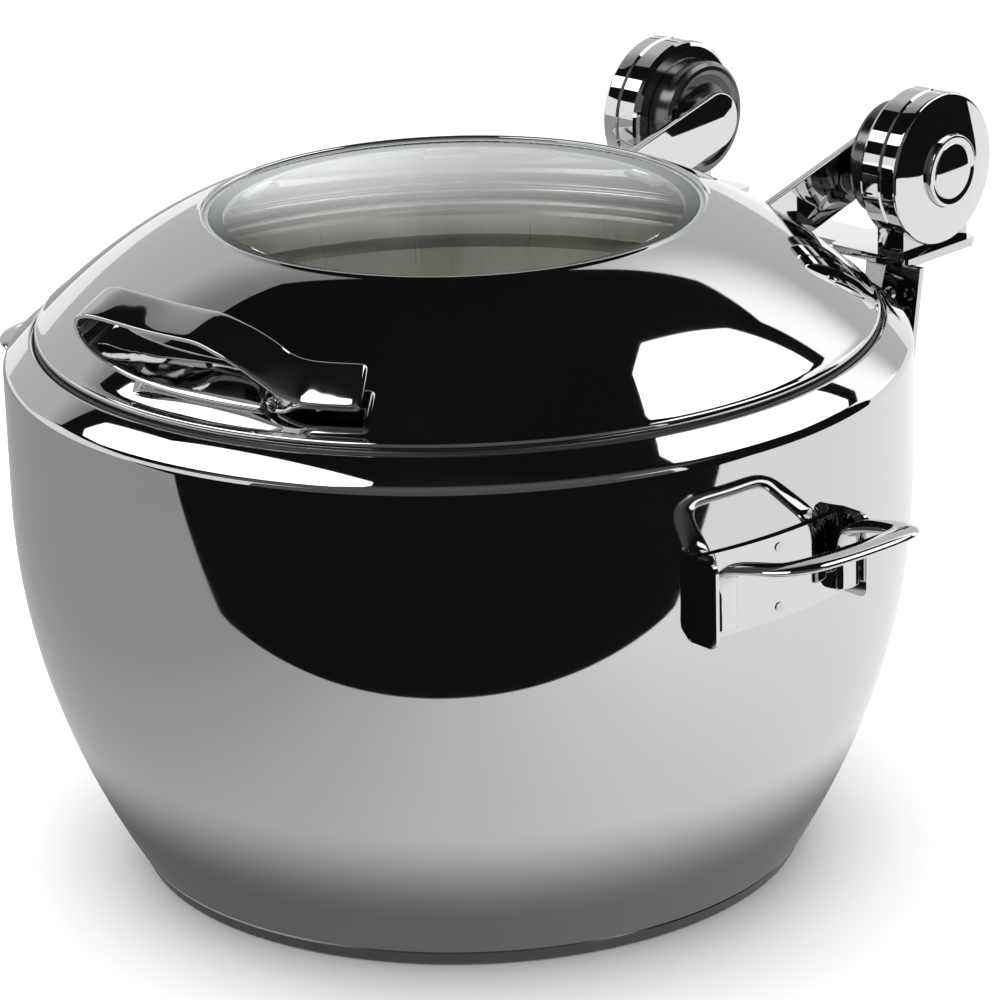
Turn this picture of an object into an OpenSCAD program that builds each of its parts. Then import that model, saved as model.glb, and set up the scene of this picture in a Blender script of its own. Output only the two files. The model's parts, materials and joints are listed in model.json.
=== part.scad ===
// Round roll top chafer: a water bowl on an encapsulated base, an insert pan,
// and a domed lid with a window that turns back on two friction hinges.
// Millimetres, +Z up, origin on the floor under the centre of the base.
// The lid handle is at -Y, the hinges are at +Y and the side handles at +X and -X.

/* [Bowl] */
// largest radius of the bowl wall
bowl_r = 197.5; // [194:0.5:201]
// radius of the bowl at the seam with the base disc
seam_r = 151; // [145:1:156]
// thickness of the bowl sheet
bowl_sheet = 1.5; // [1.2:0.1:1.8]
// height of the base disc
disc_h = 7.6; // [6:0.2:7.8]
// radius of the base disc on the floor
disc_r = 147.5; // [142:0.5:149]

/* [Insert pan] */
// depth of the insert pan below its flange
pan_depth = 155; // [100:5:190]
// thickness of the pan sheet
pan_sheet = 1; // [0.8:0.1:1.2]

/* [Lid] */
// radius of the window opening
window_r = 108; // [104:0.5:112]
// height of the window collar above the floor
window_z = 292.6; // [288:0.2:296]
// thickness of the lid sheet
lid_sheet = 1.2; // [1:0.1:1.4]
// thickness of the window glass
glass_t = 4; // [3:0.5:4]

/* [Lid handle] */
// width of the handle strap
strap_w = 20; // [16:1:24]
// thickness of the handle strap
strap_t = 2.4; // [2:0.1:2.4]

/* [Hinges] */
// distance of the hinge axis behind the centre
hinge_y = 226.5; // [225:0.5:229]
// height of the hinge axis above the floor
hinge_z = 272.2; // [271:0.2:274]
// radius of the hinge housings
housing_r = 35; // [33:0.5:36]
// radius of the turning drums
drum_r = 27; // [24:0.5:29]
// width of the lid arms
arm_w = 27; // [24:1:29]
// thickness of the lid arms
arm_t = 4; // [3:0.5:4]
// radius of the hinge pins
pin_r = 6; // [5:0.5:7]
// radial running clearance of the hinge pins
pin_gap = 0.08; // [0.05:0.01:0.1]

/* [Side handles] */
// angle of each side handle forward of the middle
handle_turn = 5.5; // [3:0.5:7]
// half of the width of a handle plate
plate_half = 43.5; // [40:0.5:47]
// height of a handle plate
plate_h = 36.5; // [33:0.5:40]
// how far the grip reaches out from the wall
grip_reach = 55; // [50:1:60]

/* [Hidden] */
$fn = 96;

// steel colours for the preview
c_mirror = [0.80, 0.81, 0.83];
c_brushed = [0.62, 0.62, 0.60];
c_dark = [0.20, 0.20, 0.21];
c_glass = [0.75, 0.88, 0.84, 0.5];

// bowl heights: floor of the bowl, end of the curve, foot and top of the shoulder
floor_z = disc_h + 0.4;
curve_z = 188;
shoulder_z = 226;
ledge_z = 237;
rim_z = 240.8;
// radius inside the rolled edge of the bowl, where the lid drops in
mouth_r = bowl_r - 14;
// how strongly the lower wall curves in
curve_power = 2.4;
// steps along the curved wall and along the lid flank
wall_steps = 18;
flank_steps = 16;

function wall_r(z) = bowl_r - (bowl_r - seam_r)
    * pow(max(0, (curve_z - z) / (curve_z - floor_z)), curve_power);

// shoulder arc radius, then a straight chamfer up to the rolled edge
shoulder_arc = 6;
function shoulder_pts(rr, t) = [
    for (a = [0:9:45])
        [rr - shoulder_arc + (shoulder_arc - t) * cos(a),
         shoulder_z + 2 + (shoulder_arc - t) * sin(a)]];

// lid flank: height of the outer face over radius
flank_r = bowl_r - 16;
flank_a = 25.75;
flank_b = 21.2;
function flank_s(r) = (r - window_r) / (flank_r - window_r);
function flank_z(r) = window_z - flank_a * flank_s(r) - flank_b * pow(flank_s(r), 2);
// rolled bead round the lid rim
bead_r = 2.2;
bead_c = [mouth_r - 0.4 - bead_r, flank_z(flank_r) - 2];

// window seat: depth of the collar and width of the ledge
collar_h = 7.2;
seat_w = 9;
glass_edge = 2;
gasket_t = 1.2;
seat_z = window_z - collar_h;
glass_r = window_r - glass_edge;

// insert pan
pan_r = mouth_r - 16.5;
pan_step_h = 12;
pan_step = 5.5;
pan_draft = 5;
pan_corner = 22;
flange_r = mouth_r - 5.6;

// hinge stack along X, from the arm out to the cap
arm_x = 46;
hub_x = arm_x + arm_t;
drum_x = 54;
house_x = 67;
seam_x = 79.2;
cap_x = 91.4;
side_gap = 0.3;
cap_r = 16.6;
dome_r = 12.6;
// slope of the lid arms below the hinge
arm_slope = 14.5;
arm_len = 95;
hub_r = 11;

// rear bracket
shelf_t = 2.5;
saddle_gap = 1.2;
shelf_z = hinge_z - housing_r - shelf_t - saddle_gap;
shelf_x = 90;
shelf_front = 198;
shelf_back = 249;
bridge_front = 203;
bridge_back = 227;
bridge_x = 45;
lip_h = 4;
lip_t = 1.6;
post_x0 = 63;
post_x1 = 94;
post_t = 3;
post_top_y = 203;
post_low_y = 192;
post_low_z = 152;
pad_t = 2.2;
pad_top_z = 200;

// side handle
plate_t = 1.8;
plate_z = 155;
ear_out = 10.5;
ear_t = 1.8;
grip_w = 13;
grip_t = 5;

// ---------- helpers ----------

// side 1 is +X, side -1 its mirror image
module on_side(s) {
    mirror([s < 0 ? 1 : 0, 0, 0]) children();
}

// revolved about the hinge axis, with the profile's height running along +X
module on_axis() {
    translate([0, hinge_y, hinge_z]) rotate([0, 90, 0]) rotate_extrude($fn = 96) children();
}

// everything inside the bowl wall from the cylinder part up to the shoulder
module wall_core(extra) {
    translate([0, 0, plate_z - 60]) cylinder(r = bowl_r + extra, h = 130, $fn = 180);
}

// rectangle with round corners, made of exact arcs
module round_rect(w, h, r) {
    translate([r, 0]) square([w - 2 * r, h]);
    translate([0, r]) square([w, h - 2 * r]);
    for (x = [r, w - r], y = [r, h - r])
        translate([x, y]) circle(r = r, $fn = 32);
}

function unit(v) = v / norm(v);

// Catmull-Rom curve through the key points k, with n steps a span
function spline_at(k, i, t) =
    let (p0 = k[max(i - 1, 0)], p1 = k[i], p2 = k[i + 1], p3 = k[min(i + 2, len(k) - 1)])
    0.5 * (2 * p1 + (p2 - p0) * t + (2 * p0 - 5 * p1 + 4 * p2 - p3) * t * t
        + (3 * p1 - p0 - 3 * p2 + p3) * t * t * t);
function spline(k, n) = concat(
    [for (i = [0:len(k) - 2], j = [0:n - 1]) spline_at(k, i, j / n)],
    [k[len(k) - 1]]);

// direction of a path at point i
function along(p, i) = unit(p[min(i + 1, len(p) - 1)] - p[max(i - 1, 0)]);

// closed tube through rings of equal length
module rings_solid(rings) {
    n = len(rings[0]);
    m = len(rings);
    pts = [for (r = rings, q = r) q];
    sides = [for (i = [0:m - 2], j = [0:n - 1])
        [i * n + j, i * n + (j + 1) % n, (i + 1) * n + (j + 1) % n, (i + 1) * n + j]];
    first = [[for (j = [n - 1:-1:0]) j]];
    last = [[for (j = [0:n - 1]) (m - 1) * n + j]];
    polyhedron(points = pts, faces = concat(sides, first, last), convexity = 8);
}

// ---------- base ----------

module outer_bowl() {
    t = bowl_sheet;
    out = [for (i = [0:wall_steps])
        let (z = floor_z + (curve_z - floor_z) * i / wall_steps) [wall_r(z), z]];
    inn = [for (i = [wall_steps:-1:0])
        let (z = floor_z + t + (curve_z - floor_z - t) * i / wall_steps) [wall_r(z) - t, z]];
    top = [[mouth_r + 2.6, rim_z - 0.5], [mouth_r + 1.3, rim_z], [mouth_r + 0.4, rim_z - 0.4],
        [mouth_r, rim_z - 1.2], [mouth_r, ledge_z], [mouth_r - 12.5, ledge_z],
        [mouth_r - 14, ledge_z - t], [mouth_r - 14, ledge_z - 8]];
    under = [[mouth_r - 12.5, ledge_z - 8], [mouth_r - 12.5, ledge_z - t],
        [mouth_r + t, ledge_z - t], [mouth_r + t, rim_z - 1.9], [mouth_r + 2, rim_z - 2.1]];
    sh_in = shoulder_pts(bowl_r, t);
    color(c_mirror) rotate_extrude($fn = 180)
        polygon(concat([[0, floor_z]], out, shoulder_pts(bowl_r, 0), top, under,
            [for (i = [len(sh_in) - 1:-1:0]) sh_in[i]], inn, [[0, floor_z + t]]));
}

module base_disc() {
    // a fine groove is left under the bowl at the rim, and the middle touches it
    color(c_brushed) rotate_extrude($fn = 180)
        polygon([[0, 0], [disc_r - 1.5, 0], [disc_r, 1], [seam_r - 0.8, disc_h - 0.8],
            [seam_r - 1.2, disc_h], [seam_r - 4, disc_h], [seam_r - 4, floor_z], [0, floor_z]]);
}

module lid_seat_ring() {
    top = bead_c[1] - bead_r - 0.3;
    color(c_dark) rotate_extrude($fn = 120)
        polygon([[mouth_r - 4.6, ledge_z], [mouth_r - 0.1, ledge_z], [mouth_r - 0.1, top - 0.8],
            [mouth_r - 0.9, top], [mouth_r - 3.8, top], [mouth_r - 4.6, top - 0.8]]);
}

// frame of one side handle: turned forward of the middle, then mirrored
module at_handle(s) {
    on_side(s) rotate([0, 0, -handle_turn]) children();
}

module side_plate(s) {
    ear_end = bowl_r + ear_out;
    color(c_mirror) at_handle(s) {
        intersection() {
            difference() {
                translate([0, 0, plate_z]) cylinder(r = bowl_r + plate_t, h = plate_h, $fn = 180);
                translate([0, 0, plate_z - 1]) cylinder(r = bowl_r, h = plate_h + 2, $fn = 180);
            }
            translate([0, -plate_half, plate_z]) cube([bowl_r + 20, 2 * plate_half, plate_h]);
        }
        for (m = [0, 1]) mirror([0, m, 0]) difference() {
            translate([bowl_r - 14, plate_half, plate_z]) rotate([90, 0, 0])
                linear_extrude(ear_t)
                    round_rect(ear_end - bowl_r + 14, plate_h, 4);
            wall_core(0);
        }
    }
}

// path of one grip, from the turned-down end in the front ear to the one in the back ear
grip_x = bowl_r + grip_reach - grip_w / 2;
leg_y = plate_half - ear_t - grip_w / 2 - 0.4;
grip_half = [
    [bowl_r + 6.5, -leg_y, plate_z + 6], [bowl_r + 6.5, -leg_y, plate_z + 18],
    [bowl_r + 7, -leg_y, plate_z + 27], [bowl_r + 9.8, -leg_y, plate_z + 32.2],
    [bowl_r + 15.5, -leg_y, plate_z + 34.8], [bowl_r + 25, -leg_y, plate_z + 37.2],
    [grip_x - 13, -leg_y + 0.6, plate_z + 39.4], [grip_x - 6.5, -leg_y + 3.2, plate_z + 41],
    [grip_x - 2.2, -leg_y + 9, plate_z + 42], [grip_x - 0.5, -leg_y + 18, plate_z + 42.3],
    [grip_x, -leg_y + 29, plate_z + 42.3]];
grip_keys = concat(grip_half,
    [for (i = [len(grip_half) - 1:-1:0]) [grip_half[i][0], -grip_half[i][1], grip_half[i][2]]]);

module side_grip(s) {
    path = spline(grip_keys, 4);
    rings = [for (i = [0:len(path) - 1])
        let (d = along(path, i),
             w = unit(cross([0, 0, 1], d) - [0, 0.02 * sign(path[i][1]), 0]),
             v = unit(cross(d, w)))
        [for (a = [0:30:330]) path[i] + w * (grip_w / 2 * cos(a)) + v * (grip_t / 2 * sin(a))]];
    color(c_mirror) at_handle(s) rings_solid(rings);
}

// flat round mark left by a spot weld, standing on the plate
module plate_weld(s, z) {
    color(c_mirror) at_handle(s)
        translate([bowl_r + plate_t - 0.2, 0, z]) rotate([0, 90, 0])
            cylinder(r = 2, h = 0.7, $fn = 32);
}
weld_z = [plate_z + plate_h / 2 + 13, plate_z + plate_h / 2 - 13];

// ---------- rear bracket ----------

module bracket_foot(s) {
    color(c_mirror) on_side(s) intersection() {
        union() {
            translate([0, 0, post_low_z])
                cylinder(r = bowl_r + pad_t, h = pad_top_z - post_low_z, $fn = 180);
            translate([post_x0, 0, post_low_z]) cube([post_x1 - post_x0, post_low_y, post_t]);
        }
        difference() {
            translate([post_x0 - 2, 150, post_low_z])
                cube([post_x1 - post_x0 + 4, 60, pad_top_z - post_low_z]);
            translate([0, 0, post_low_z - 1])
                cylinder(r = bowl_r, h = pad_top_z - post_low_z + 2, $fn = 180);
        }
    }
}

// leaning strap from the foot's web up to the shelf
module hinge_post(s) {
    color(c_mirror) on_side(s) difference() {
        translate([post_x0, 0, 0]) rotate([90, 0, 90]) linear_extrude(post_x1 - post_x0)
            polygon([[post_low_y, post_low_z], [post_low_y + post_t, post_low_z],
                [post_low_y + post_t, post_low_z + 12], [post_top_y + post_t, shelf_z],
                [post_top_y, shelf_z], [post_low_y, post_low_z + 12]]);
        translate([0, 0, post_low_z - 1])
            cylinder(r = bowl_r + pad_t, h = pad_top_z - post_low_z + 1, $fn = 180);
        // notch clear of the shelf's folded lip
        translate([shelf_x - lip_t - 0.2, post_top_y - 5, shelf_z - lip_h + shelf_t - 0.2])
            cube([20, 15, lip_h]);
    }
}

function post_face_y(z) = post_low_y
    + (post_top_y - post_low_y) * (z - post_low_z - 12) / (shelf_z - post_low_z - 12);

// domed head on the post's front face with a shank through the strap
module post_rivet(s, i) {
    z = 200 + 9 * i;
    color(c_mirror) on_side(s)
        translate([(post_x0 + post_x1) / 2, post_face_y(z), z]) rotate([90, 0, 0]) {
            translate([0, 0, -post_t]) cylinder(r = 1.6, h = post_t + 0.4, $fn = 32);
            cylinder(r1 = 3.2, r2 = 2.2, h = 1.4, $fn = 32);
        }
}

// outline of the shelf in plan: wide under each hinge, narrow between them
module shelf_outline() {
    translate([-bridge_x - 1, bridge_front])
        square([2 * bridge_x + 2, bridge_back - bridge_front]);
    for (m = [0, 1]) mirror([m, 0])
        translate([bridge_x, shelf_front])
            round_rect(shelf_x - bridge_x, shelf_back - shelf_front, 3);
}

module hinge_shelf() {
    color(c_mirror) {
        translate([0, 0, shelf_z]) linear_extrude(shelf_t) shelf_outline();
        // folded lips along the front and outer edges
        for (m = [0, 1]) mirror([m, 0, 0]) {
            translate([bridge_x + 3, shelf_front, shelf_z - lip_h + shelf_t])
                cube([shelf_x - bridge_x - 6, lip_t, lip_h]);
            translate([shelf_x - lip_t, shelf_front + 3, shelf_z - lip_h + shelf_t])
                cube([lip_t, shelf_back - shelf_front - 6, lip_h]);
        }
    }
}

// block standing on the shelf, hollowed to the round of the housings
module hinge_saddle(s) {
    color(c_mirror) on_side(s) difference() {
        translate([house_x + 3, 202, shelf_z + shelf_t]) cube([15, 49 - 3, 13]);
        translate([0, hinge_y, hinge_z]) rotate([0, 90, 0])
            cylinder(r = housing_r, h = 120, $fn = 96);
    }
}

// ---------- hinges ----------

module housing_outer(s) {
    r = housing_r;
    h = cap_x - seam_x;
    color(c_mirror) on_side(s) translate([seam_x, 0, 0]) on_axis()
        polygon(concat([[pin_r + pin_gap, 0], [r - 1.2, 0], [r, 1.0], [r, h - 4.6],
            [r - 0.5, h - 3.7]],
            [for (i = [0:8]) let (q = r - 1.6 - (r - 1.6 - cap_r - 1) * i / 8)
                [q, h - 3.1 * pow((q - cap_r) / (r - 1.6 - cap_r), 1.6)]],
            [[cap_r, h - 0.5], [cap_r, h - 6.4], [pin_r + pin_gap, h - 6.4]]));
}

module housing_inner(s) {
    r = housing_r;
    h = seam_x - house_x;
    color(c_mirror) on_side(s) translate([house_x, 0, 0]) on_axis()
        polygon([[pin_r + pin_gap, 0], [r - 2.4, 0], [r - 0.8, 0.8], [r, 2.4],
            [r, h - 1.0], [r - 1.2, h], [pin_r + pin_gap, h]]);
}

// stepped dome that closes the outer housing over the pin's end
module hub_cap(s) {
    h0 = cap_x - 6.4;
    color(c_mirror) on_side(s) translate([h0, 0, 0]) on_axis()
        polygon(concat([[0, 0], [cap_r, 0], [cap_r, 7.4], [cap_r - 0.9, 8.2],
            [dome_r + 0.6, 8.3], [dome_r, 8.7]],
            [for (a = [15:15:90]) [dome_r * cos(a), 8.7 + 1.1 * sin(a)]]));
}

module hinge_drum(s) {
    r = drum_r;
    h = house_x - side_gap - drum_x;
    color(c_brushed) on_side(s) translate([drum_x, 0, 0]) on_axis()
        polygon([[pin_r, 0], [hub_r + 2, 0], [hub_r + 6, 1.2], [r - 6, 1.2], [r - 4, 0],
            [r - 2, 0.2], [r - 0.4, 1.4], [r, 3], [r, h - 0.6], [r - 0.6, h], [pin_r, h]]);
}

module arm_hub(s) {
    color(c_mirror) on_side(s) translate([hub_x, 0, 0]) on_axis()
        translate([pin_r, 0]) square([hub_r - pin_r, drum_x - hub_x]);
}

// pin fixed in the arm, hub and drum, running in both housing halves
module hinge_pin(s) {
    color(c_mirror) on_side(s) translate([arm_x + 1, 0, 0]) on_axis()
        polygon([[0, 0], [pin_r, 0], [pin_r, cap_x - 7.6 - arm_x],
            [pin_r - 1, cap_x - 6.8 - arm_x - 1], [0, cap_x - 6.8 - arm_x - 1]]);
}

// flat bar with a full-round end, cut to the lid's flank at its foot
module lid_arm(s) {
    color(c_mirror) on_side(s) difference() {
        translate([arm_x, hinge_y, hinge_z]) rotate([90, 0, 90]) difference() {
            linear_extrude(arm_t) rotate(arm_slope) {
                circle(r = arm_w / 2, $fn = 64);
                translate([-arm_len, -arm_w / 2]) square([arm_len, arm_w]);
            }
            translate([0, 0, 1]) cylinder(r = pin_r, h = arm_t, $fn = 96);
        }
        lid_core();
    }
}

// ---------- lid ----------

function flank_pts(drop) = [for (i = [0:flank_steps])
    let (r = window_r + (flank_r - window_r) * i / flank_steps) [r, flank_z(r) - drop]];

// all that lies under the lid's outer face
module lid_core() {
    rotate_extrude($fn = 180)
        polygon(concat([[0, 200], [0, window_z]], flank_pts(0),
            [[bead_c[0] + bead_r, bead_c[1] + 0.6], [bead_c[0] + bead_r, 200]]));
}

// angles on the bead where the flank's outer and inner faces run into it
bead_out = 79;
bead_in = 117 - 360;

module lid_shell() {
    t = lid_sheet;
    outer = flank_pts(0);
    inner = flank_pts(t * 1.25);
    color(c_mirror) rotate_extrude($fn = 180)
        polygon(concat([for (i = [0:flank_steps - 1]) outer[i]],
            [for (a = [bead_out:-14:bead_in]) bead_c + bead_r * [cos(a), sin(a)]],
            [for (i = [flank_steps - 1:-1:1]) inner[i]],
            [[window_r + t, window_z - 2.2], [window_r + t, seat_z - t],
             [window_r - seat_w, seat_z - t], [window_r - seat_w, seat_z],
             [window_r, seat_z]]));
}

module window_glass() {
    color(c_glass) translate([0, 0, seat_z + gasket_t])
        cylinder(r = glass_r, h = glass_t, $fn = 180);
}

module window_gasket() {
    color(c_dark) rotate_extrude($fn = 180)
        polygon([[window_r - seat_w + 0.6, seat_z], [window_r, seat_z],
            [window_r, seat_z + gasket_t + glass_t - 0.4],
            [glass_r + 0.4, seat_z + gasket_t + glass_t + 0.2],
            [glass_r, seat_z + gasket_t + glass_t], [glass_r, seat_z + gasket_t],
            [window_r - seat_w + 0.6, seat_z + gasket_t]]);
}

// small tab welded under the window ledge
module glass_clip(i) {
    color(c_mirror) rotate([0, 0, 60 * i + 15])
        translate([window_r - seat_w - 4, -12, seat_z - lid_sheet - 1.5])
            cube([9, 24, 1.5]);
}

// lid handle: one strap from its end on the lid, back round the fold and over the top
// to the tab; middle line x, y, z, then the width's turn round the lid and its slope
handle_keys = [[50.5, -160.1, 259.3, 17, 41], [34.9, -164.2, 259.3, 12, 41],
    [17.6, -167, 259.3, 6, 41], [0, -167.9, 259.5, 1, 39], [-15, -168.9, 260.7, 2, 33],
    [-25.5, -170.9, 263.7, 4, 25], [-32, -172.9, 267.3, 5, 22], [-35.4, -175.5, 272.6, 5, 22],
    [-36, -178.2, 279, 5, 22], [-32.5, -179.8, 284, 5, 22], [-25, -180, 286.2, 5, 22],
    [-12, -178.8, 285.8, 5, 22], [4, -177.2, 285, 5, 22], [20, -175.8, 285, 5, 22],
    [32, -174.4, 284.8, 5, 22], [41.5, -172.8, 282.3, 6, 24], [50, -170.6, 279, 10, 28],
    [58, -168, 274.6, 15, 34], [64.5, -164.4, 269.4, 20, 39], [70, -160, 266.8, 24, 41],
    [77, -156.6, 266.4, 27, 41], [84, -152.8, 266.4, 29, 41], [90, -149.2, 266.4, 31, 41]];
// the strap folds back under the tab and drops to the lid beside its other end
fold_r = strap_t / 2 + 0.35;
tab_turn = 31;
tab_slope = 41;
fold_pts = [for (f = [30:30:180])
    let (c = handle_keys[len(handle_keys) - 1],
         q = [c[0], c[1], c[2]] + round_side(tab_turn) * (fold_r * sin(f))
             - width_up(tab_turn, tab_slope) * (fold_r * (1 - cos(f))))
    [q[0], q[1], q[2], tab_turn, tab_slope]];
under_keys = [[83, -151.1, 264.1, 29, 41], [76.1, -154.8, 264.1, 27, 41],
    [70, -158, 264.2, 24, 41], [65.5, -159, 262.4, 22, 41], [61, -158.6, 260.2, 21, 41],
    [56.5, -158.1, 259.3, 20, 41]];

function round_out(a) = [sin(a), -cos(a), 0];
function round_side(a) = [cos(a), sin(a), 0];
function width_up(a, b) = round_out(a) * sin(b) + [0, 0, cos(b)];
function width_in(a, b) = -round_out(a) * cos(b) + [0, 0, sin(b)];

module lid_handle() {
    keys = concat(spline(handle_keys, 3), fold_pts, spline(under_keys, 2));
    path = [for (k = keys) [k[0], k[1], k[2]]];
    w = strap_w / 2;
    t = strap_t / 2;
    edge = 0.5;
    sec = [[-w, -t + edge], [-w + edge, -t], [w - edge, -t], [w, -t + edge],
        [w, t - edge], [w - edge, t], [-w + edge, t], [-w, t - edge]];
    rings = [for (i = [0:len(path) - 1])
        let (u = width_in(keys[i][3], keys[i][4]), v = unit(cross(u, along(path, i))))
        [for (q = sec) path[i] + u * q[0] + v * q[1]]];
    color(c_mirror) rings_solid(rings);
}

// bead of weld between the two ends of the strap, half sunk in the lid
handle_r = flank_r - 15;
handle_slope = 41;
module handle_weld(w) {
    color(c_mirror) rotate([0, 0, 18.6]) translate([0, -handle_r, flank_z(handle_r)])
        rotate([handle_slope, 0, 0]) translate([0, w, 0.9]) sphere(r = 2.8, $fn = 48);
}

// ---------- insert pan ----------

module insert_pan() {
    t = pan_sheet;
    z0 = ledge_z;
    r1 = pan_r;
    r2 = pan_r - pan_step;
    rb = r2 - pan_draft;
    zb = z0 - pan_depth;
    zs = z0 - pan_step_h;
    c = pan_corner;
    outer = [for (a = [0:15:90]) [rb - c + c * cos(a), zb + c - c * sin(a)]];
    inner = [for (a = [90:-15:0])
        [rb - c + (c - t) * cos(a), zb + c - (c - t) * sin(a)]];
    color(c_brushed) rotate_extrude($fn = 180)
        polygon(concat([[flange_r, z0], [flange_r, z0 + 2.4], [flange_r - 1.2, z0 + 3],
            [flange_r - 2.4, z0 + 2.4], [flange_r - 2.6, z0 + t], [r1 + 1.5, z0 + t],
            [r1 + 0.2, z0 + 0.4], [r1 - t, z0 - 1.5], [r1 - t, zs + 1.2],
            [r1 - t - 1, zs], [r2 + 0.6, zs - 1.6], [r2 - t, zs - 3.4]],
            [for (i = [len(inner) - 1:-1:0]) inner[i]], [[0, zb + t], [0, zb]],
            [for (i = [len(outer) - 1:-1:0]) outer[i]],
            [[r2, zs - 4], [r2 + 1.2, zs - 2.6], [r1 - 1, zs - 1], [r1, zs + 0.2],
             [r1, z0 - 1.5], [r1 + 1, z0]]));
}

// ---------- drawing ----------

outer_bowl();
base_disc();
lid_seat_ring();
side_plate(1);  // side_plate_right
side_plate(-1);  // side_plate_left
side_grip(1);  // side_grip_right
side_grip(-1);  // side_grip_left
plate_weld(1, weld_z[0]);  // plate_weld_right_top
plate_weld(1, weld_z[1]);  // plate_weld_right_low
plate_weld(-1, weld_z[0]);  // plate_weld_left_top
plate_weld(-1, weld_z[1]);  // plate_weld_left_low
bracket_foot(1);  // bracket_foot_right
bracket_foot(-1);  // bracket_foot_left
hinge_post(1);  // hinge_post_right
hinge_post(-1);  // hinge_post_left
post_rivet(1, 0);  // post_rivet_right_1
post_rivet(1, 1);  // post_rivet_right_2
post_rivet(1, 2);  // post_rivet_right_3
post_rivet(-1, 0);  // post_rivet_left_1
post_rivet(-1, 1);  // post_rivet_left_2
post_rivet(-1, 2);  // post_rivet_left_3
hinge_shelf();
hinge_saddle(1);  // hinge_saddle_right
hinge_saddle(-1);  // hinge_saddle_left
housing_outer(1);  // housing_outer_right
housing_outer(-1);  // housing_outer_left
housing_inner(1);  // housing_inner_right
housing_inner(-1);  // housing_inner_left
hub_cap(1);  // hub_cap_right
hub_cap(-1);  // hub_cap_left
lid_shell();
window_glass();
window_gasket();
glass_clip(0);  // glass_clip_1
glass_clip(1);  // glass_clip_2
glass_clip(2);  // glass_clip_3
glass_clip(3);  // glass_clip_4
glass_clip(4);  // glass_clip_5
glass_clip(5);  // glass_clip_6
lid_handle();
handle_weld(-6.5);  // handle_weld_near
handle_weld(2);  // handle_weld_middle
lid_arm(1);  // lid_arm_right
lid_arm(-1);  // lid_arm_left
arm_hub(1);  // arm_hub_right
arm_hub(-1);  // arm_hub_left
hinge_drum(1);  // hinge_drum_right
hinge_drum(-1);  // hinge_drum_left
hinge_pin(1);  // hinge_pin_right
hinge_pin(-1);  // hinge_pin_left
insert_pan();
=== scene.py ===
"""Looks of the round roll top chafer: smooth mirror shells, handles, glass and satin pan."""

import json
import math

import bmesh
import bpy
from mathutils import Matrix, Vector


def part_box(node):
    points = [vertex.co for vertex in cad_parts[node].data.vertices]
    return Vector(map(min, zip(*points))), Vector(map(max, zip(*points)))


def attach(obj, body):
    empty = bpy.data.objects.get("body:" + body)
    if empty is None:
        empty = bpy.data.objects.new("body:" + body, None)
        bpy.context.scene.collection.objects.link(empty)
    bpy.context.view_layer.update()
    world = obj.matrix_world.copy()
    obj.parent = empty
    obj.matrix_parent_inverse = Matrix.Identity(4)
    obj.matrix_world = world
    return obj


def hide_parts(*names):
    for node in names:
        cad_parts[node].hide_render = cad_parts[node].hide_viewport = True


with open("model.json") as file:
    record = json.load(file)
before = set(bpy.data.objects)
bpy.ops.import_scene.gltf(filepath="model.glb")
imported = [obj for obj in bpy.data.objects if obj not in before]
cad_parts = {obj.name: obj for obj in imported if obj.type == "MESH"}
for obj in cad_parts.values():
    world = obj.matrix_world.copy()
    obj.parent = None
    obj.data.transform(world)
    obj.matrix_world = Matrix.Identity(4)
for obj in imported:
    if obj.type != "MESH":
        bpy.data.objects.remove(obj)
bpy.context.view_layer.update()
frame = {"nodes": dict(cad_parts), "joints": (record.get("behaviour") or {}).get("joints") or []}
nodes = frame["nodes"]
hinge = next(j for j in frame["joints"] if j["name"] == "lid_hinge")["pos_m"]

MM = 0.001
AROUND = 288  # segments round a piece turned about the upright axis
HINGE_AROUND = 160  # segments round a piece turned about the hinge axis
SAME_POINT = 1e-6  # CAD vertices closer than this are one
SHARP = math.radians(34)  # a bend over this is shaded as an edge
CORNER = math.radians(50)  # a bend over this in a CAD node is one of its real corners


# ---------- node helpers ----------

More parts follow.
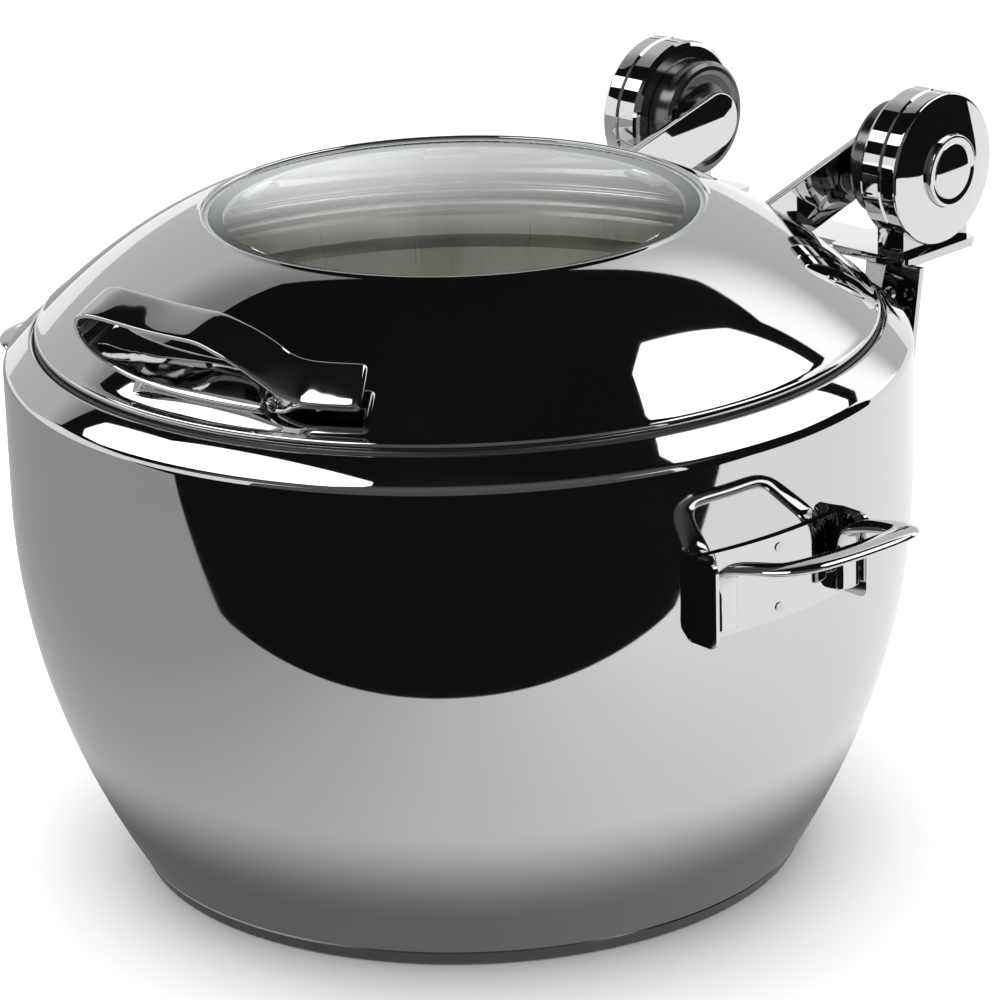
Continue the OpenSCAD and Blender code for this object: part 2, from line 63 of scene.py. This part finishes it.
class Mat:
    """A material with one shader, and short calls that add nodes to it."""

    def __init__(self, name, glows=False):
        self.mat = bpy.data.materials.new(name)
        self.mat.use_nodes = True
        self.tree = self.mat.node_tree
        if glows:
            self.tree.nodes.clear()
            self.shader = self.add("ShaderNodeEmission")
            output = self.add("ShaderNodeOutputMaterial")
            self.link(self.shader.outputs[0], output.inputs[0])
        else:
            self.shader = self.tree.nodes["Principled BSDF"]
        self.coords = self.add("ShaderNodeTexCoord").outputs["Object"]

    def add(self, kind, **values):
        """New node; operation, curve and data type are settings, the other names are sockets."""
        node = self.tree.nodes.new(kind)
        for key, value in values.items():
            if key in ("operation", "interpolation_type", "data_type"):
                setattr(node, key, value)
            else:
                node.inputs[key].default_value = value
        return node

    def link(self, out, into):
        self.tree.links.new(out, into)

    def feed(self, node, values):
        """Numbers or sockets into the node's inputs in turn; gives its first output."""
        for socket, value in zip(node.inputs, values):
            if isinstance(value, (int, float)):
                socket.default_value = value
            else:
                self.link(value, socket)
        return node.outputs[0]

    def set(self, socket, value):
        self.shader.inputs[socket].default_value = value

    def math(self, op, *values):
        return self.feed(self.add("ShaderNodeMath", operation=op), values)

    def length(self, a, b):
        squares = self.math("MULTIPLY", a, a), self.math("MULTIPLY", b, b)
        return self.math("SQRT", self.math("ADD", *squares))

    def vector(self, x, y, z):
        return self.feed(self.add("ShaderNodeCombineXYZ"), (x, y, z))

    def xyz(self):
        node = self.add("ShaderNodeSeparateXYZ")
        self.link(self.coords, node.inputs[0])
        return node.outputs

    def noise(self, vector, scale, detail=3.0, rough=0.5):
        node = self.add("ShaderNodeTexNoise", Scale=scale, Detail=detail, Roughness=rough)
        self.link(vector, node.inputs["Vector"])
        return node.outputs["Fac"]

    def spread(self, value, low, high, start=0.3, end=0.7, curve="LINEAR"):
        """Values from start to end become low to high, and stay there beyond."""
        node = self.add("ShaderNodeMapRange", interpolation_type=curve)
        return self.feed(node, (value, start, end, low, high))

    def colour(self, fac, dark, light):
        node = self.add("ShaderNodeMix", data_type="RGBA")
        node.inputs[6].default_value = (*dark, 1)  # 6, 7 and output 2 are the colour sockets
        node.inputs[7].default_value = (*light, 1)
        self.link(fac, node.inputs[0])
        self.link(node.outputs[2], self.shader.inputs["Base Color"])

    def roughness(self, value):
        self.link(value, self.shader.inputs["Roughness"])

    def bump(self, height, strength, distance):
        node = self.add("ShaderNodeBump", Strength=strength, Distance=distance)
        self.link(height, node.inputs["Height"])
        self.link(node.outputs[0], self.shader.inputs["Normal"])


# ---------- materials ----------

def mirror(name, dark, light, smooth, rough):
    """Polished steel: faint haze in patches and very fine polishing marks."""
    m = Mat(name)
    m.set("Metallic", 1.0)
    haze = m.noise(m.coords, 9.0, 5.0, 0.6)
    marks = m.noise(m.coords, 900.0, 2.0, 0.5)
    m.colour(haze, dark, light)
    m.roughness(m.math("ADD", m.spread(haze, smooth, rough), m.spread(marks, 0.0, 0.006)))
    m.bump(m.noise(m.coords, 26.0, 1.0, 0.4), 0.06, 0.0002)
    return m.mat


def pan_steel():
    """Satin pan: grain that runs up the wall and out across the floor, with soft broad bands."""
    m = Mat("satin_pan_steel")
    m.set("Metallic", 0.97)
    x, y, z = m.xyz()
    angle = m.math("ARCTAN2", y, x)
    radius = m.length(x, y)
    grain = m.vector(m.math("MULTIPLY", angle, 34.0), m.math("MULTIPLY", radius, 6.0),
                     m.math("MULTIPLY", z, 5.0))
    fine = m.noise(grain, 5.0, 6.0, 0.7)
    broad = m.noise(m.vector(m.math("MULTIPLY", angle, 3.2), radius, z), 2.6, 2.0, 0.5)
    both = m.math("ADD", m.math("MULTIPLY", fine, 0.3), m.math("MULTIPLY", broad, 0.7))
    m.colour(m.spread(both, 0.0, 1.0, 0.30, 0.72), (0.62, 0.605, 0.56), (0.86, 0.85, 0.81))
    m.roughness(m.spread(fine, 0.27, 0.31))
    return m.mat


def turned_steel(name, dark, light, axis, rings):
    """Lathe-turned face: fine rings round the hinge axis ("X") or the upright axis ("Z")."""
    m = Mat(name)
    m.set("Metallic", 1.0)
    x, y, z = m.xyz()
    if axis == "X":
        radius = m.length(m.math("SUBTRACT", y, hinge[1]), m.math("SUBTRACT", z, hinge[2]))
    else:
        radius = m.length(x, y)
    ring = m.noise(m.vector(m.math("MULTIPLY", radius, rings), 0.0, 0.0), 1.0, 3.0, 0.6)
    haze = m.noise(m.coords, 60.0, 3.0, 0.5)
    m.colour(m.math("MULTIPLY", m.math("ADD", ring, haze), 0.5), dark, light)
    m.roughness(m.spread(ring, 0.14, 0.24))
    m.bump(ring, 0.2, 0.00008)
    return m.mat


def grained(name, scale, dark, light, smooth, rough, strength):
    """Moulded rubber or silicone with a fine dull grain."""
    m = Mat(name)
    grain = m.noise(m.coords, scale, 4.0, 0.6)
    m.colour(grain, dark, light)
    m.roughness(m.spread(grain, smooth, rough))
    m.bump(grain, strength, 0.0001)
    return m.mat


def glass():
    """Tempered glass, very faintly uneven and slightly green."""
    m = Mat("window_glass_clear")
    m.set("Transmission Weight", 1.0)
    m.set("IOR", 1.5)
    film = m.noise(m.coords, 14.0, 3.0, 0.5)
    m.colour(film, (0.90, 0.96, 0.93), (0.94, 0.985, 0.965))
    m.roughness(m.spread(film, 0.0, 0.012))
    return m.mat


def pale_floor():
    """Matt floor, so that it mirrors none of the studio's cards."""
    m = Mat("pale_floor")
    m.set("Specular IOR Level", 0.0)
    m.set("Roughness", 1.0)
    m.colour(m.noise(m.coords, 3.0, 2.0, 0.5), (0.95, 0.95, 0.95), (0.97, 0.97, 0.97))
    return m.mat


def flat_light(name, grey, strength=1.0):
    """Plain emitter for a studio card."""
    m = Mat(name, glows=True)
    m.set("Color", (grey, grey, grey, 1))
    m.set("Strength", strength)
    return m.mat


def graded_light(name, *steps):
    """Emitter whose strength joins soft steps, each along a direction or out from the middle.

    A step is (direction or "radius", how it joins the ones before, start, end, strength
    before the start, strength after the end).
    """
    m = Mat(name, glows=True)
    total = None
    for along, how, start, end, before, after in steps:
        if along == "radius":
            measure = m.add("ShaderNodeVectorMath", operation="LENGTH")
        else:
            measure = m.add("ShaderNodeVectorMath", operation="DOT_PRODUCT")
            measure.inputs[1].default_value = along
        m.link(m.coords, measure.inputs[0])
        step = m.spread(measure.outputs["Value"], before, after, start, end, "SMOOTHSTEP")
        total = step if total is None else m.math(how, total, step)
    m.link(total, m.shader.inputs["Strength"])
    return m.mat


STEEL = mirror("mirror_steel_polished", (0.56, 0.56, 0.565), (0.60, 0.60, 0.605), 0.012, 0.04)
HANDLE = mirror("handle_steel_polished", (0.60, 0.60, 0.605), (0.66, 0.66, 0.665), 0.02, 0.06)
CHROME = mirror("hinge_chrome_polished", (0.62, 0.62, 0.63), (0.68, 0.68, 0.69), 0.01, 0.035)
DRUM = turned_steel("turned_drum_steel", (0.10, 0.10, 0.105), (0.20, 0.20, 0.205), "X", 2600.0)
# the base disc's turned steel is painted darker than the bowl's, as painted shade under the
# bowl's overhang
BASE_PAINTED_SHADE = turned_steel("base_turned_steel_painted_shade", (0.22, 0.22, 0.22), (0.34, 0.34, 0.34), "Z", 1800.0)
PAN = pan_steel()
RUBBER = grained("seal_rubber_soft", 700.0, (0.012, 0.014, 0.013), (0.03, 0.033, 0.031),
                 0.45, 0.62, 0.3)
SILICONE = grained("gasket_silicone_grey", 500.0, (0.26, 0.29, 0.27), (0.34, 0.37, 0.35),
                   0.35, 0.5, 0.2)
GLASS = glass()


# ---------- mesh helpers ----------

def finish_mesh(bm, name, material):
    """Object with smooth faces, and sharp edges where the surface really turns."""
    bmesh.ops.recalc_face_normals(bm, faces=bm.faces)
    for face in bm.faces:
        face.smooth = True
    for edge in bm.edges:
        edge.smooth = len(edge.link_faces) == 2 and edge.calc_face_angle(0) < SHARP
    mesh = bpy.data.meshes.new(name)
    bm.to_mesh(mesh)
    bm.free()
    mesh.materials.append(material)
    obj = bpy.data.objects.new(name, mesh)
    bpy.context.scene.collection.objects.link(obj)
    return obj


def corners_of(bm):
    return [e for e in bm.edges if len(e.link_faces) == 2 and e.calc_face_angle(0) > CORNER]


def arc(centre, radius, start, end, steps):
    """Points on an arc; 0 degrees points outward and 90 up."""
    angles = [math.radians(start + (end - start) * i / steps) for i in range(steps + 1)]
    return [(centre[0] + radius * math.cos(a), centre[1] + radius * math.sin(a))
            for a in angles]


def lathe(name, outline, material, steps=AROUND):
    """Closed outline of (radius, height) turned about the upright axis."""
    bm = bmesh.new()
    rings = []
    for i in range(steps):
        c, s = math.cos(2 * math.pi * i / steps), math.sin(2 * math.pi * i / steps)
        rings.append([bm.verts.new((r * c, r * s, z)) for r, z in outline])
    count = len(outline)
    for i in range(steps):
        a, b = rings[i], rings[(i + 1) % steps]
        for j in range(count):
            k = (j + 1) % count
            bm.faces.new((a[j], b[j], b[k], a[k]))
    bmesh.ops.remove_doubles(bm, verts=bm.verts, dist=SAME_POINT / 10)
    return finish_mesh(bm, name, material)


def hinge_lathe(name, side, outline, material):
    """Outline of (radius, distance out along X) turned about the hinge axis, on one side."""
    obj = lathe(name, outline, material, HINGE_AROUND)
    for v in obj.data.vertices:
        x, y, z = v.co
        v.co = (side * z, hinge[1] + x, hinge[2] - side * y)
    if side > 0:
        obj.data.flip_normals()
    return obj


def bevelled(node, name, material, width):
    """A copy of a CAD node with its corners rounded a little."""
    bm = bmesh.new()
    bm.from_mesh(nodes[node].data)
    bmesh.ops.remove_doubles(bm, verts=bm.verts, dist=SAME_POINT)
    bmesh.ops.dissolve_limit(bm, angle_limit=math.radians(1), verts=bm.verts, edges=bm.edges)
    bmesh.ops.bevel(bm, geom=corners_of(bm), offset=width, segments=3, profile=0.5,
                    affect="EDGES", clamp_overlap=True)
    return finish_mesh(bm, name, material)


def from_cad(node, name, material):
    """A smooth copy of a CAD node: its facets joined into quads and rounded over."""
    bm = bmesh.new()
    bm.from_mesh(nodes[node].data)
    bmesh.ops.remove_doubles(bm, verts=bm.verts, dist=SAME_POINT)
    bmesh.ops.join_triangles(bm, faces=bm.faces, angle_face_threshold=math.radians(12),
                             angle_shape_threshold=math.radians(75))
    crease = bm.edges.layers.float.new("crease_edge")
    for edge in corners_of(bm):
        edge[crease] = 0.7
    obj = finish_mesh(bm, name, material)
    for edge in obj.data.edges:
        edge.use_edge_sharp = False
    rounding = obj.modifiers.new("rounding", "SUBSURF")
    rounding.levels = rounding.render_levels = 2
    return obj


def place(piece, body, node):
    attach(piece, body)
    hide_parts(node)


# ---------- bowl ----------

bowl_low, bowl_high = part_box("outer_bowl")
bowl_r = bowl_high.x
floor_z = bowl_low.z
rim_z = bowl_high.z
mouth_r = bowl_r - 14 * MM
SHEET = 1.5 * MM
WALL_FOOT = 151 * MM  # radius where the wall meets the base
CURVE_Z = 172 * MM  # the wall is upright above this height
CURVE_POWER = 2.05
WALL_STEPS = 40
SHOULDER_Z = 226 * MM
SHOULDER_R = 6 * MM
RIM_R = 1.6 * MM  # rounding of the rim
LEDGE_DROP = 3.8 * MM  # the inner ledge's depth below the rim
LEDGE_WIDTH = 14 * MM


def wall_radius(z):
    """Radius of the bowl wall at a height below the upright part."""
    share = max(0.0, (CURVE_Z - z) / (CURVE_Z - floor_z))
    return bowl_r - (bowl_r - WALL_FOOT) * share ** CURVE_POWER


def bowl_outline():
    heights = [floor_z + (CURVE_Z - floor_z) * i / WALL_STEPS for i in range(WALL_STEPS + 1)]
    outer = [(wall_radius(z), z) for z in heights]
    inner = [(wall_radius(z) - SHEET, max(z, floor_z + SHEET)) for z in heights]
    shoulder = (bowl_r - SHOULDER_R, SHOULDER_Z + 2 * MM)
    rim = (mouth_r + RIM_R, rim_z - RIM_R)
    top = arc(shoulder, SHOULDER_R, 0, 45, 12) + arc(rim, RIM_R, 48, 180, 14)
    ledge_z = rim_z - LEDGE_DROP
    ledge = [(mouth_r, ledge_z), (mouth_r - LEDGE_WIDTH, ledge_z),
             (mouth_r - LEDGE_WIDTH, ledge_z - SHEET), (mouth_r + SHEET, ledge_z - SHEET)]
    under = arc(shoulder, SHOULDER_R - SHEET, 45, 0, 8)
    return ([(0, floor_z)] + outer + top + ledge + under + list(reversed(inner))
            + [(0, floor_z + SHEET)])


bowl = lathe("bowl_mirror_shell", bowl_outline(), STEEL)
place(bowl, "base", "outer_bowl")


# ---------- lid ----------

lid_low, lid_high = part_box("lid_shell")
gasket_low, gasket_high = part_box("window_gasket")
window_r = gasket_high.x
flank_r = lid_high.x - 1.6 * MM
LID_SHEET = 1.2 * MM
FALL_FIRST = 25.75 * MM  # fall of the flank from the window to the rim, in proportion to radius
FALL_SECOND = 21.2 * MM  # and with its square, which is what curves it
FLANK_STEPS = 56
BEAD_R = 2.2 * MM  # rolled outer rim
LIP_R = 1.3 * MM  # rounded edge round the window
LIP_DROP = 0.3 * MM  # the lip's top below the lid's highest point
FLANK_START = 2.6 * MM  # out from the window
FLANK_END = 1.2 * MM  # in from flank_r
COLLAR_WIDTH = 9 * MM


def flank_height(r):
    """Height of the lid's outer face at a radius."""
    share = (r - window_r) / (flank_r - window_r)
    return lid_high.z - FALL_FIRST * share - FALL_SECOND * share ** 2


def lid_outline():
    lip = (window_r + LIP_R, lid_high.z - LIP_R - LIP_DROP)
    bead = (lid_high.x - BEAD_R, lid_low.z + BEAD_R)
    start = window_r + FLANK_START
    width = flank_r - FLANK_END - start
    radii = [start + width * i / FLANK_STEPS for i in range(FLANK_STEPS + 1)]
    outer = [(r, flank_height(r)) for r in radii]
    inner = [(r, flank_height(r) - LID_SHEET * 1.2) for r in radii if r < flank_r - 3 * MM]
    seat_z = gasket_low.z
    ledge_r = window_r - COLLAR_WIDTH
    collar = [(window_r + LID_SHEET, seat_z - LID_SHEET), (ledge_r, seat_z - LID_SHEET),
              (ledge_r, seat_z), (window_r, seat_z)]
    return (arc(lip, LIP_R, 180, 62, 10) + outer + arc(bead, BEAD_R, 70, 117 - 360, 30)
            + list(reversed(inner)) + collar)


lid = lathe("lid_mirror_dome", lid_outline(), STEEL)
place(lid, "lid", "lid_shell")


# ---------- handles ----------

strap = from_cad("lid_handle", "lid_handle_strap", HANDLE)
place(strap, "lid", "lid_handle")
for side in ("right", "left"):
    grip = from_cad(f"side_grip_{side}", f"side_grip_bar_{side}", HANDLE)
    place(grip, "base", f"side_grip_{side}")


# ---------- hinges ----------

BORE_R = 8 * MM
HOUSING_R = 35 * MM
HOUSING_ROUND = 1.9 * MM  # rounding of the housing's outer edge
FACE_R = HOUSING_R - 1.6 * MM  # where that rounding meets the face
FACE_DROP = 3.1 * MM  # how far the face falls from the cap to there
FACE_POWER = 1.6
FACE_STEPS = 24
SEAM_WIDTH, SEAM_DEPTH = 1.0 * MM, 1.2 * MM  # chamfer at the seam between the two halves
POCKET = 6.3 * MM  # depth of the cap's seat
CAP_R = 16.6 * MM
CAP_SIDE = CAP_R - 0.05 * MM
CAP_ROUND = 0.7 * MM
CAP_STEP = 1.9 * MM  # from the cap's step to the top of its dome
DOME_R = 12.6 * MM
DOME_RISE = 1.1 * MM
ARM_BEVEL = 1.3 * MM


def housing_outline(start, end):
    """Outer half of a hinge housing: rounded edge, and a face that swells towards the cap."""
    face = []
    for i in range(FACE_STEPS + 1):
        r = FACE_R - (FACE_R - CAP_R - 0.4 * MM) * i / FACE_STEPS
        face.append((r, end - FACE_DROP * ((r - CAP_R) / (FACE_R - CAP_R)) ** FACE_POWER))
    edge = (HOUSING_R - HOUSING_ROUND, end - FACE_DROP - 1.75 * MM)
    return ([(BORE_R, start), (HOUSING_R - SEAM_DEPTH, start), (HOUSING_R, start + SEAM_WIDTH)]
            + arc(edge, HOUSING_ROUND, 0, 66, 8) + face
            + [(CAP_R, end - 0.5 * MM), (CAP_R, end - POCKET), (BORE_R, end - POCKET)])


def cap_outline(start, end):
    """Stepped cap with a low dome."""
    step = end - CAP_STEP
    side_end = step + 0.4 * MM
    angles = [math.radians(a) for a in range(6, 90, 6)]
    dome = [(DOME_R * math.cos(a), end - DOME_RISE * (1 - math.sin(a))) for a in angles]
    return ([(0, start), (CAP_SIDE, start), (CAP_SIDE, side_end)]
            + arc((CAP_SIDE - CAP_ROUND, side_end), CAP_ROUND, 0, 90, 5)
            + [(DOME_R + 0.6 * MM, step + 0.9 * MM), (DOME_R + 0.1 * MM, step + 0.7 * MM)]
            + dome + [(0, end)])


def reach(node):
    """How far out along X a node starts and ends."""
    low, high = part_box(node)
    return sorted((abs(low.x), abs(high.x)))


for side, word in ((1, "right"), (-1, "left")):
    outline = housing_outline(*reach(f"housing_outer_{word}"))
    housing = hinge_lathe(f"housing_shell_{word}", side, outline, CHROME)
    place(housing, "base", f"housing_outer_{word}")
    outline = cap_outline(*reach(f"hub_cap_{word}"))
    cap = hinge_lathe(f"cap_stepped_{word}", side, outline, CHROME)
    place(cap, "base", f"hub_cap_{word}")
    arm = bevelled(f"lid_arm_{word}", f"arm_bar_{word}", CHROME, ARM_BEVEL)
    place(arm, "lid", f"lid_arm_{word}")


# ---------- materials of the CAD nodes ----------

LOOKS = {
    "base_disc": BASE_PAINTED_SHADE, "lid_seat_ring": RUBBER, "window_gasket": SILICONE,
    "window_glass": GLASS, "insert_pan": PAN,
    "hinge_drum_right": DRUM, "hinge_drum_left": DRUM,
    "housing_outer_right": CHROME, "housing_outer_left": CHROME,
    "housing_inner_right": CHROME, "housing_inner_left": CHROME,
    "hub_cap_right": CHROME, "hub_cap_left": CHROME,
    "side_plate_right": HANDLE, "side_plate_left": HANDLE,
}
for name, node in nodes.items():
    for slot in node.material_slots:
        slot.material = LOOKS.get(name, CHROME if "arm" in name else STEEL)

nodes["window_glass"].visible_shadow = False  # so that the light above it reaches the pan


# ---------- camera ----------

CAM_AZ = math.radians(44.545)
CAM_EL = math.radians(20.389)
CAM_ROLL = math.radians(-1.769)
CAM_DIST = 2.041
CAM_TARGET = Vector((0, 0, 0.13))
CAM_LENS = 166.06
CAM_SHIFT_X, CAM_SHIFT_Y = 0.0354, 0.0557

toward = Vector((math.sin(CAM_AZ), -math.cos(CAM_AZ), 0))
across = Vector((math.cos(CAM_AZ), math.sin(CAM_AZ), 0))
out = toward * math.cos(CAM_EL) + Vector((0, 0, math.sin(CAM_EL)))
turn = Matrix((across, out.cross(across), out)).transposed() @ Matrix.Rotation(CAM_ROLL, 3, "Z")
camera = bpy.data.objects.new("camera", bpy.data.cameras.new("camera"))
bpy.context.scene.collection.objects.link(camera)
camera.matrix_world = Matrix.Translation(CAM_TARGET + out * CAM_DIST) @ turn.to_4x4()
camera.data.sensor_width = 36
camera.data.lens = CAM_LENS
camera.data.shift_x = CAM_SHIFT_X
camera.data.shift_y = CAM_SHIFT_Y
camera.data.clip_end = 60
bpy.context.scene.camera = camera
bpy.context.scene.view_settings.view_transform = "Standard"


# ---------- floor and cards ----------

def card(name, corners, material, seen=False):
    """Flat card through its corners; unless it is seen, only mirrors and glass show it."""
    mesh = bpy.data.meshes.new(name)
    mesh.from_pydata(corners, [], [tuple(range(len(corners)))])
    mesh.materials.append(material)
    obj = bpy.data.objects.new(name, mesh)
    bpy.context.scene.collection.objects.link(obj)
    if not seen:
        obj.visible_camera = obj.visible_diffuse = obj.visible_shadow = False
    return obj


def level(outline, z):
    """Corners of a card at one height, from (x, y)."""
    return [(x, y, z) for x, y in outline]


def rectangle(left, right, low, high):
    """Corners in a plane, from the lower left round to the upper left."""
    return (left, low), (right, low), (right, high), (left, high)


def spot(d, w, z):
    """Point in the studio: d towards the camera, w to its right, z up."""
    return tuple(toward * d + across * w + Vector((0, 0, z)))


UP = (0, 0, 1)
RIGHT = tuple(across)
BLACK = flat_light("card_black", 0.008)
DIM = flat_light("card_dim", 0.11)
WHITE = flat_light("card_white", 1.0, 2.6)

FLOOR_HALF = 12.0
card("floor", level(rectangle(-FLOOR_HALF, FLOOR_HALF, -FLOOR_HALF, FLOOR_HALF), 0),
     pale_floor(), True)

# dark ceiling over the front half of the studio, with the two long soft boxes just under it
CEILING = 1.5
SOFT_BOX_Z = CEILING - 0.01
DARK_CEILING = (
    (-3.2, -0.62), (-1.25, -0.2), (-1.0, 0.19), (-0.48, 0.44), (-0.26, 0.92), (-0.06, 1.38),
    (0.25, 1.68), (0.4, 2.5), (3.2, 2.5), (3.2, -3.2), (-3.2, -3.2))
SOFT_BOX_LEFT = (
    (-2.0, -0.56), (-1.7, -0.5), (-1.0, -0.63), (0.1, -0.6), (0.25, -0.95), (0.2, -1.35),
    (-2.2, -1.3))
SOFT_BOX_RIGHT = (
    (0.36, 0.62), (0.5, 0.46), (0.72, 0.38), (1.05, 0.5), (1.25, 2.1), (0.52, 2.25),
    (0.44, 1.9), (0.33, 1.26))
card("dark_ceiling", level(DARK_CEILING, CEILING),
     graded_light("ceiling_dark", (tuple(toward), "ADD", 0.45, 1.3, 0.007, 0.13)))
card("soft_box_left", level(SOFT_BOX_LEFT, SOFT_BOX_Z), WHITE)
card("soft_box_right", level(SOFT_BOX_RIGHT, SOFT_BOX_Z), WHITE)

# pale ceiling beyond the dark one, brighter to the back and the right
card("pale_ceiling", level(rectangle(-12, 12, -1, 12), CEILING + 0.03), graded_light(
    "ceiling_pale",
    ((-0.5, 0.86, 0), "ADD", 0.6, 1.35, 0.28, 0.66),
    ((1, 0, 0), "ADD", -0.6, 0.25, 0.0, 1.0)))

# painted reflection of the floor, a sheet seen only in mirrors: painted shade at the left and
# close in round the base, brighter at the right
REFLECTION_HALF = 3
REFLECTION_Z = 0.8 * MM
reflection_square = rectangle(-REFLECTION_HALF, REFLECTION_HALF, -REFLECTION_HALF, REFLECTION_HALF)
card("painted_floor_reflection", [spot(d, w, REFLECTION_Z) for w, d in reflection_square], graded_light(
    "painted_floor_reflection",
    (RIGHT, "ADD", -0.5, 0.5, 0.42, 1.12),
    ("radius", "MULTIPLY", 0.165, 0.225, 0.25, 1.0)))

# the dark room in front, which begins past the edge of the pale table
ROOM = 6.0
ROOM_Z = 1.6 * MM
TABLE_EDGE = ((0.30, -ROOM), (0.34, -0.75), (0.41, 0.0), (0.45, 0.6), (0.52, ROOM))
card("dark_front", [spot(d, w, ROOM_Z) for d, w in (*TABLE_EDGE, (ROOM, ROOM), (ROOM, -ROOM))],
     BLACK)
card("dim_wall_front", [spot(2.6, w, z) for w, z in rectangle(-3.2, 3.2, 0.0, 1.49)], DIM)
WALL_START, WALL_ALONG = Vector((0.78, 0.95, 0)), Vector((-0.714, 0.70, 0))
card("dark_wall_right", [tuple(WALL_START + WALL_ALONG * w + Vector((0, 0, z)))
                         for w, z in rectangle(-1.1, 0.35, 0.0, 0.95)], BLACK)

# light that falls through the window into the pan, stronger from the left
FILL_R = 92 * MM
FILL_Z = 285.5 * MM
FILL_STEPS = 32
fill_angles = [2 * math.pi * i / FILL_STEPS for i in range(FILL_STEPS)]
fill = card("window_fill", [spot(FILL_R * math.cos(a), FILL_R * math.sin(a), FILL_Z)
                            for a in fill_angles], graded_light(
    "window_fill",
    (RIGHT, "ADD", -0.09, -0.02, 15.0, 0.05),
    (RIGHT, "ADD", 0.02, 0.09, 0.0, 9.0)))
fill.visible_transmission = False  # or the camera would see it through the glass

# behind the chafer the backdrop ends, and the dark room begins above it
card("back_fade", [spot(-3.0, w, z) for w, z in rectangle(-0.6, 0.6, 1.0, 1.45)], graded_light(
    "back_fade",
    (RIGHT, "ADD", -0.27, 0.1, 2.3, 1.3),
    (UP, "MULTIPLY", 1.09, 1.2, 1.0, 0.0),
    (UP, "ADD", 1.24, 1.44, 0.0, 1.1),
    (RIGHT, "MAXIMUM", 0.28, 0.6, 0.0, 1.1),
    (RIGHT, "MAXIMUM", -0.6, -0.28, 1.1, 0.0)))


# ---------- light ----------

world = bpy.data.worlds.new("studio")
world.use_nodes = True
background = world.node_tree.nodes["Background"]
background.inputs["Color"].default_value = (1.0, 1.0, 1.0, 1)
background.inputs["Strength"].default_value = 1.1
bpy.context.scene.world = world

top_light = bpy.data.objects.new("top_light", bpy.data.lights.new("top_light", "AREA"))
top_light.data.shape = "SQUARE"
top_light.data.size = 2.4
top_light.data.energy = 45
top_light.location = (-0.4, 0.3, 2.4)
top_light.visible_glossy = False
bpy.context.scene.collection.objects.link(top_light)
